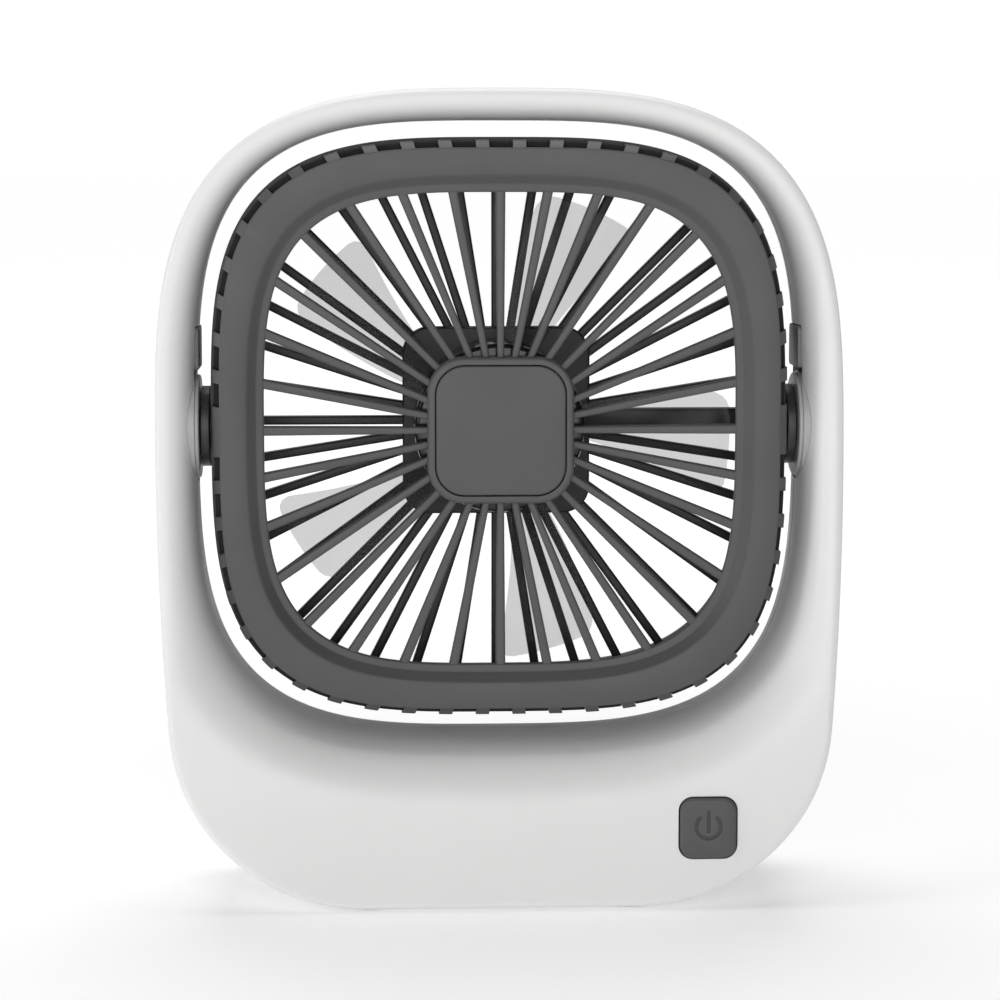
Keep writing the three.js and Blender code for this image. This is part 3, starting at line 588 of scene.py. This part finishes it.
def front_section(i, phi):
    r0 = grille_r(phi)
    w = head_r(phi) - 0.5 - r0
    y = HF
    e = HSEAM - 0.15
    outer = fillet([(2.4, e), (0.5, y + 4.6), (0, y + 3.5), (0, y + 2.3), (1.65, y + 2.2), (3.5, y + 0.35), (w * 0.55, y), (w - 1.75, y + 0.05), (w - 0.3, y + 1.6), (w, y + 2.5), (w, e), (w + 3, HSEAM + 4), (-3, HSEAM + 4)],
                   [0, 0.8, 0.4, 0.45, 0.7, 1.3, 0, 0.5, 0.7, 1.0, 0, 0, 0], 5)
    outer = outer[:-2]
    inner = [(w - 1.2, e), (w - 1.2, y + 2.8), (w - 2.5, y + 1.7), (4.9, y + 1.7), (1.7, y + 3.9), (3.6, e)]
    if stations[i][1]:
        lim = w - SLOT_IN
        # the surface height where the slot starts
        top = next(a[1] + (b[1] - a[1]) * (lim - a[0]) / (b[0] - a[0]) for a, b in zip(outer, outer[1:]) if a[0] <= lim < b[0])
        outer = [(s, v) if s <= lim else (lim, top) for s, v in outer]
        inner = [(s, v) if s <= lim else (lim, y + 1.7) for s, v in inner]
    return [(r0 + s, v) for s, v in outer + inner]


head_f = ring("head_bezel", [p for p, _ in stations], front_section, M_GREY, sharp=40)


def bars(count, r_in, r_out, w_in, w_out, y_out, depth, round_r=0.4, turn=0.0, skip=(), steps=10, arch=0.0):
    """Radial bars with rounded faces, running from the hub into the rim."""
    parts = []
    for i in range(count):
        if i in skip:
            continue
        t = 2 * math.pi * i / count + turn
        u, n = (math.sin(t), math.cos(t)), (math.cos(t), -math.sin(t))
        r1 = r_out(t)
        loops = []
        for k in range(steps + 1):
            q = k / steps
            r = r_in + (r1 - r_in) * q
            w = w_in + (w_out - w_in) * q
            sec = fillet([(-w / 2, y_out), (w / 2, y_out), (w / 2, y_out + depth), (-w / 2, y_out + depth)], [round_r] * 4, 3)
            loops.append([(u[0] * r + n[0] * a, b, PZ + u[1] * r + n[1] * a) for a, b in sec])
        parts.append(stack(loops))
    return parts


ribs = bars(32, 13.95, lambda t: grille_r(t) + 0.9, 1.42, 1.95, HF + 2.45, 2.4, round_r=0.42, steps=14)
v, f = merge(ribs[0], ribs[1:])
ribs_f = new_mesh("front_ribs", v, f, M_GREY, sharp=50)
# hub ring with the seat for the cap
loops = []
H, HC = 14.9, 7.5
for i, y in ((0.0, HF + 4.9), (0.0, HF + 1.75), (0.12, HF + 1.35), (0.4, HF + 1.12), (0.75, HF + 1.08), (1.2, HF + 1.08)):
    loops.append([(x, y, z) for x, z in rr(0, PZ, H - i, H - i, HC - i, 14)])
CAPH, CAPR = 13.2, 5.9
for g, y in ((0.30, HF + 1.08), (0.22, HF + 1.16), (0.2, HF + 1.3), (0.2, HF + 3.1)):
    loops.append([(x, y, z) for x, z in rr(0, PZ, CAPH + g, CAPH + g, CAPR + g, 14)])
v, f = stack(loops)
hub = new_mesh("hub_ring", v, f, M_GREY, sharp=40)
v = [(p[0], p[1], p[2]) for p in v]
for o in (ribs_f, hub):
    o.parent = head_f
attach(head_f, "head"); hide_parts("head_front_shell")
cap = pillow("hub_cover", 0, PZ, CAPH, CAPH, CAPR,
             [(0.0, HF + 2.8), (0.0, HF + 1.45), (0.03, HF + 1.3), (0.1, HF + 1.2), (0.22, HF + 1.13), (0.4, HF + 1.1), (3.0, HF + 1.1), (8.0, HF + 1.1)], M_CAP, seg=14, sharp=45)
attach(cap, "head"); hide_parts("hub_cap")
bosses = []
CORNERS = [(45.0, 45.4), (-45.0, 45.4), (-45.0, -45.4), (45.0, -45.4)]
for x, z in CORNERS:
    bosses.append(lathe([(1.05, HSEAM - 0.2), (1.05, HF + 3.4), (0, HF + 3.4), (0, HF + 1.6), (2.2, HF + 1.6), (2.2, HSEAM - 0.2)], 32, "Y", (x, 0, PZ + z)))
v, f = merge(bosses[0], bosses[1:])
o = new_mesh("front_bosses", v, f, M_GREY, sharp=40); o.parent = head_f

# ------------------------------------------------------------------ head, rear half
NR = 384


def rear_section(i, phi):
    r0 = rear_r(phi)
    w = head_r(phi) - r0
    y, q, t = HB, HSEAM + 0.15, TAPER
    outer = fillet([(0, q), (0, y - 1.5), (1.25, y - 1.5), (1.25, y), (w - t - 1.2, y), (w - t, y - 2.4), (w, -3.0), (w, q), (w + 4, q - 6), (-4, q - 6)],
                   [0, 0.1, 0.05, 0.2, 1.6, 1.6, 4.0, 0.1, 0, 0], 5)[:-2]
    inner = [(w - 2.1, q), (w - 2.1, HF + 3.1), (w - 3.2, HF + 3.1), (w - 3.2, q + 1.6), (w - 1.8, q + 3.0), (w - t - 1.8, y - 2.7), (1.8, y - 2.9), (1.2, y - 3.4), (1.2, q)]
    return [(r0 + s, v) for s, v in outer + inner]


head_r_ob = ring("rear_shell", [2 * math.pi * i / NR for i in range(NR)], rear_section, M_BLACK, sharp=40)
cut(head_r_ob, [rod_x(5.3, 55.85, 62, 0, PZ, 64), rod_x(5.3, -62, -55.85, 0, PZ, 64)]
    + [rod_y(2.0, x, PZ + z, 1.0, HB + 2, 32) for x, z in CORNERS]
    + [rod_y(2.9, x, PZ + z, HF, HSEAM - 0.05, 32) for x, z in CORNERS])
parts = []
for x, z in CORNERS:
    parts.append(lathe([(1.2, HSEAM + 0.4), (2.7, HSEAM + 0.4), (2.7, HB - 1.4), (2.03, HB - 1.4), (2.03, 1.0), (1.2, 1.0)], 32, "Y", (x, 0, PZ + z)))
v, f = merge(parts[0], parts[1:])
o = new_mesh("screw_posts", v, f, M_BLACK, sharp=40)
o.parent = head_r_ob
parts = []
for k in range(SLOTS):
    if k in (SLOTS // 4, 3 * SLOTS // 4):
        continue
    loops = []
    for j in range(7):
        phi = phi_at(pitch * k + (j / 6 - 0.5) * (SLOT_W - 0.16))
        w, sn, cs = head_r(phi) - 0.5, math.sin(phi), math.cos(phi)
        loops.append([(r * sn, y, PZ + r * cs) for r, y in
                      ((w - SLOT_IN + 0.06, HF + 3.1), (w - 0.55, HF + 3.1), (w - 0.4, HF + 3.3), (w - 0.35, HSEAM - 0.05), (w - SLOT_IN + 0.06, HSEAM - 0.05))])
    parts.append(stack(loops))
v, f = merge(parts[0], parts[1:])
# the teeth are black plastic with extra painted shade so that the slots read dark
o = new_mesh("slot_teeth", v, f, M_TEETH_SHADE, sharp=40)
o.parent = head_r_ob
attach(head_r_ob, "head"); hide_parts("head_rear_shell")


def rim_section(i, phi):
    r, y = rear_r(phi), HB
    sec = fillet([(-0.9, y - 3.0), (-0.9, y - 0.2), (1.1, y - 0.2), (1.1, y - 1.4), (-0.3, y - 1.4), (-0.3, y - 3.0)],
                 [0.2, 0.4, 0.25, 0.1, 0.1, 0.2], 4)
    return [(r + s, v) for s, v in sec]


grille = ring("rear_rim", [2 * math.pi * i / NR for i in range(NR)], rim_section, M_BLACK, sharp=40)
reach = lambda t: rear_r(t) - 0.65
parts = bars(40, 17.0, reach, 1.8, 1.85, HB - 4.0, 2.7, round_r=0.45, skip=(10,), steps=8)
parts += bars(1, 17.0, reach, 4.65, 4.65, HB - 5.6, 4.3, round_r=0.6, turn=math.pi / 2, steps=8)
ins = [(0.5, HB - 5.4), (0.15, HB - 5.3), (0.0, HB - 5.0), (0.0, HB - 1.7), (0.12, HB - 1.4), (0.4, HB - 1.3)]
parts.append(stack([[(x, y, z) for x, z in rr(0, PZ, 19.7 - i, 19.7 - i, 5.7 - i, 12)] for i, y in ins]))
parts.append(lathe([(3.2, -3.9), (4.7, -3.9), (4.7, HB - 5.0), (3.2, HB - 5.0)], 48, "Y", (0, 0, PZ)))
v, f = merge(parts[0], parts[1:])
g = new_mesh("rear_ribs", v, f, M_BLACK, sharp=50)
g.parent = grille
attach(grille, "head"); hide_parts("rear_grille")

# ------------------------------------------------------------------ impeller
TIP, ROOT = 48.5, 16.9


def blade(theta):
    NRAD, NV = 26, 16
    top, bot = [], []
    for i in range(NRAD + 1):
        q = i / NRAD
        # rows crowd together towards the rounded tip
        q = q if q < 0.8 else 0.8 + 0.2 * math.sin((q - 0.8) / 0.2 * math.pi / 2)
        r = ROOT + (TIP - ROOT) * q
        half = 3.2 + 7.8 * q
        # the two tip corners are rounded
        over = max(0.0, (r - (TIP - 3.4)) / 3.4)
        half -= 3.4 * (1 - math.sqrt(max(1 - over ** 2, 0.0))) * 0.95
        pitch = math.radians(38 - 14 * q)
        for j in range(NV + 1):
            v = 2 * j / NV - 1
            y = -v * half * math.tan(pitch) * 0.62 + 0.9 * (1 - v * v)
            ang = theta + v * half / r + 0.13 * (q - 1)
            th = 0.55 * (1 - 0.35 * abs(v) ** 3)
            top.append((r * math.sin(ang), y - th, PZ + r * math.cos(ang)))
            bot.append((r * math.sin(ang), y + th, PZ + r * math.cos(ang)))
    W, B, faces = NV + 1, len(top), []
    for i in range(NRAD):
        for j in range(NV):
            a, b, c, d = i * W + j, i * W + j + 1, (i + 1) * W + j, (i + 1) * W + j + 1
            faces += [(a, b, d, c), (B + a, B + c, B + d, B + b)]
    rim = [(j, j + 1) for j in range(NV)] + [(i * W + NV, (i + 1) * W + NV) for i in range(NRAD)]
    rim += [(NRAD * W + j, NRAD * W + j - 1) for j in range(NV, 0, -1)] + [(i * W, (i - 1) * W) for i in range(NRAD, 0, -1)]
    faces += [(a, B + a, B + b, b) for a, b in rim]
    return top + bot, faces


prof = fillet([(0.0, -7.6), (17.5, -7.6), (17.5, 6.6), (16.1, 6.6), (16.1, -6.1), (0.0, -6.1)], [0, 1.5, 0.3, 0.3, 0.6, 0], 8)
hubv = lathe(prof, 128, "Y", (0, 0, PZ))
imp = new_mesh("rotor_hub", hubv[0], hubv[1], M_HUB, sharp=40)
BLADE_AT = 95.5
bl = [blade(math.radians(BLADE_AT + 72 * k)) for k in range(5)]
v, f = merge(bl[0], bl[1:])
bo = new_mesh("rotor_blades", v, f, M_CLEAR, sharp=50)
bo.parent = imp
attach(imp, "rotor"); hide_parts("impeller")

# ------------------------------------------------------------------ screws
def screw(name, node, x, z, head_r_mm, shank, y_head, y_top, y_end, body):
    prof = fillet([(0.0, y_top), (head_r_mm, y_top - 0.25), (head_r_mm, y_head), (shank, y_head), (shank, y_end + 0.8), (0.0, y_end)],
                  [0, 0.35, 0.15, 0.1, 0, 0], 4)
    v, f = lathe(prof, 48, "Y", (x, 0, z))
    o = new_mesh(name, v, f, M_STEEL, sharp=35)
    k = head_r_mm * 0.62
    w = head_r_mm * 0.14
    cross = [prism([(x - k, z - w), (x + k, z - w), (x + k, z + w), (x - k, z + w)], y_top - 0.9, y_top + 1),
             prism([(x - w, z - k), (x + w, z - k), (x + w, z + k), (x - w, z + k)], y_top - 0.9, y_top + 1)]
    cut(o, cross)
    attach(o, body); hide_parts(node)


screw("case_screw_right", "housing_screw_right", 54, 28, 2.6, 0.95, 6.2, 8.2, -9.5, "housing")
screw("case_screw_left", "housing_screw_left", -54, 28, 2.6, 0.95, 6.2, 8.2, -9.5, "housing")
for k, (x, z) in enumerate(CORNERS):
    screw(f"guard_screw_{k + 1}", f"head_screw_{k + 1}", x, PZ + z, 1.7, 0.85, 2.3, 3.8, -9.5, "head")

# ------------------------------------------------------------------ charging socket
def socket():
    cx, cz = 40, 13.1
    o = [(0.12, 20.6), (0.0, 20.48), (0.0, 11.2)]
    loops = [[(x, y, z) for x, z in rr(cx, cz, 4.5 - i, 1.6 - i, 1.5 - i, 8)] for i, y in reversed(o)]
    loops += [[(x, y, z) for x, z in rr(cx, cz, 4.5 - i, 1.6 - i, 1.5 - i, 8)] for i, y in ((0.25, 20.6), (0.33, 20.5), (0.35, 13.0))]
    return stack(loops)


v, f = socket()
so = new_mesh("socket_shell", v, f, M_PLATE, sharp=35)
tongue = pillow("socket_tongue", 40, 13.1, 3.2, 0.35, 0.15, [(0.05, 13.05), (0.0, 13.2), (0.0, 18.9), (0.08, 19.0)], M_PORT, seg=4)
tongue.parent = so
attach(so, "housing"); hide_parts("charge_socket")

# ------------------------------------------------------------------ pieces inside keep their CAD shape
inside = {
    "battery_cell": M_CELL, "battery_tray": M_WHITE, "control_board": M_BOARD, "power_switch": M_PORT,
    "pivot_washer_left": M_STEEL, "pivot_washer_right": M_STEEL, "stator_core": M_CORE,
    "winding_front": M_COPPER, "winding_rear": M_COPPER, "motor_board": M_BOARD, "bearing_front": M_BRONZE,
    "bearing_rear": M_BRONZE, "rotor_can": M_PLATE, "magnet_ring": M_MAGNET, "motor_shaft": M_STEEL, "shaft_clip": M_STEEL,
}
for n, m in inside.items():
    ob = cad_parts[n]
    if not ob.material_slots:
        ob.data.materials.append(m)
    for s in ob.material_slots:
        s.material = m

# ------------------------------------------------------------------ studio
def stage_floor():
    m = bpy.data.materials.new("pale_floor")
    m.use_nodes = True
    nt = m.node_tree
    b = nt.nodes["Principled BSDF"]
    b.inputs["Base Color"].default_value = (0.84, 0.84, 0.84, 1)
    b.inputs["Roughness"].default_value = 0.6
    b.inputs["Specular IOR Level"].default_value = 0.2
    b.inputs["Emission Color"].default_value = (1, 1, 1, 1)
    tc = nt.nodes.new("ShaderNodeTexCoord")
    ln = nt.nodes.new("ShaderNodeVectorMath"); ln.operation = "LENGTH"
    mr = nt.nodes.new("ShaderNodeMapRange")
    mr.inputs["From Min"].default_value, mr.inputs["From Max"].default_value = 0.16, 1.5
    mr.inputs["To Min"].default_value, mr.inputs["To Max"].default_value = 0.285, 0.84
    nt.links.new(tc.outputs["Object"], ln.inputs[0])
    nt.links.new(ln.outputs["Value"], mr.inputs["Value"])
    nt.links.new(mr.outputs["Result"], b.inputs["Emission Strength"])
    me = bpy.data.meshes.new("floor")
    n, R = 96, 12.0
    me.from_pydata([(R * math.cos(2 * math.pi * i / n), R * math.sin(2 * math.pi * i / n), 0.0) for i in range(n)], [], [tuple(range(n))])
    me.materials.append(m)
    ob = bpy.data.objects.new("floor", me)
    scene.collection.objects.link(ob)


stage_floor()

world = bpy.data.worlds.new("studio")
scene.world = world
world.use_nodes = True
nt = world.node_tree
N, L = nt.nodes, nt.links
bg = N["Background"]
tc = N.new("ShaderNodeTexCoord")
sep = N.new("ShaderNodeSeparateXYZ")
L.new(tc.outputs["Generated"], sep.inputs[0])
mr = N.new("ShaderNodeMapRange")
mr.interpolation_type = "SMOOTHSTEP"
mr.inputs["From Min"].default_value, mr.inputs["From Max"].default_value = 0.55, 0.85
mr.inputs["To Min"].default_value, mr.inputs["To Max"].default_value = 0.10, 0.50
L.new(sep.outputs["Y"], mr.inputs["Value"])
lp = N.new("ShaderNodeLightPath")
mx = N.new("ShaderNodeMix")
L.new(lp.outputs["Is Camera Ray"], mx.inputs["Factor"])
L.new(mr.outputs["Result"], mx.inputs["A"])
mx.inputs["B"].default_value = 1.02
L.new(mx.outputs["Result"], bg.inputs["Strength"])
bg.inputs["Color"].default_value = (1, 1, 1, 1)


def area(name, loc, aim, size, power, size_y=None):
    d = bpy.data.lights.new(name, "AREA")
    d.energy = power
    d.size = size
    if size_y:
        d.shape = "RECTANGLE"; d.size_y = size_y
    o = bpy.data.objects.new(name, d)
    o.location = loc
    o.rotation_euler = (Vector(aim) - Vector(loc)).to_track_quat("-Z", "Y").to_euler()
    scene.collection.objects.link(o)
    return o


area("key", (-0.12, -1.15, 0.28), (0, 0, 0.09), 1.0, 7.7)
area("top", (0.0, 0.30, 1.15), (0, 0, 0.05), 0.95, 9.6)
area("rim", (-1.25, -0.2, 0.4), (0, 0, 0.1), 0.5, 5.0, 1.0)
